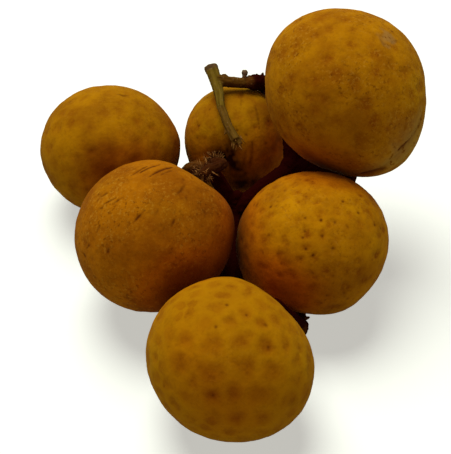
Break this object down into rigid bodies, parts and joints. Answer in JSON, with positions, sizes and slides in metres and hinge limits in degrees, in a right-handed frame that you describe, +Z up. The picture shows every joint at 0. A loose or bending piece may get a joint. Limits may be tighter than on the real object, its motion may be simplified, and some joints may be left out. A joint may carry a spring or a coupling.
{
  "type": "longan bunch",
  "caption": "Small bunch of round leathery longans held together by one branching woody panicle, lying on a surface.",
  "frame": {"origin": "centre of the bunch's footprint, on the surface that it lies on", "axes": "+Z up; +Y from the front fruit towards the back fruits and the cut end of the stem; +X towards the raised fruit"},
  "size_m": [0.0686, 0.0796, 0.0442],
  "materials": {
    "rind": "dry matt ochre-brown rind with shallow dimples",
    "twig_wood": "rough grey-olive to dark brown bark"
  },
  "bodies": {
    "root": {"fruit_back_left": "rind", "fruit_back_middle": "rind", "fruit_top_right": "rind", "fruit_middle_left": "rind", "fruit_middle_right": "rind", "fruit_front": "rind", "panicle": "twig_wood"}
  },
  "joints": []
}
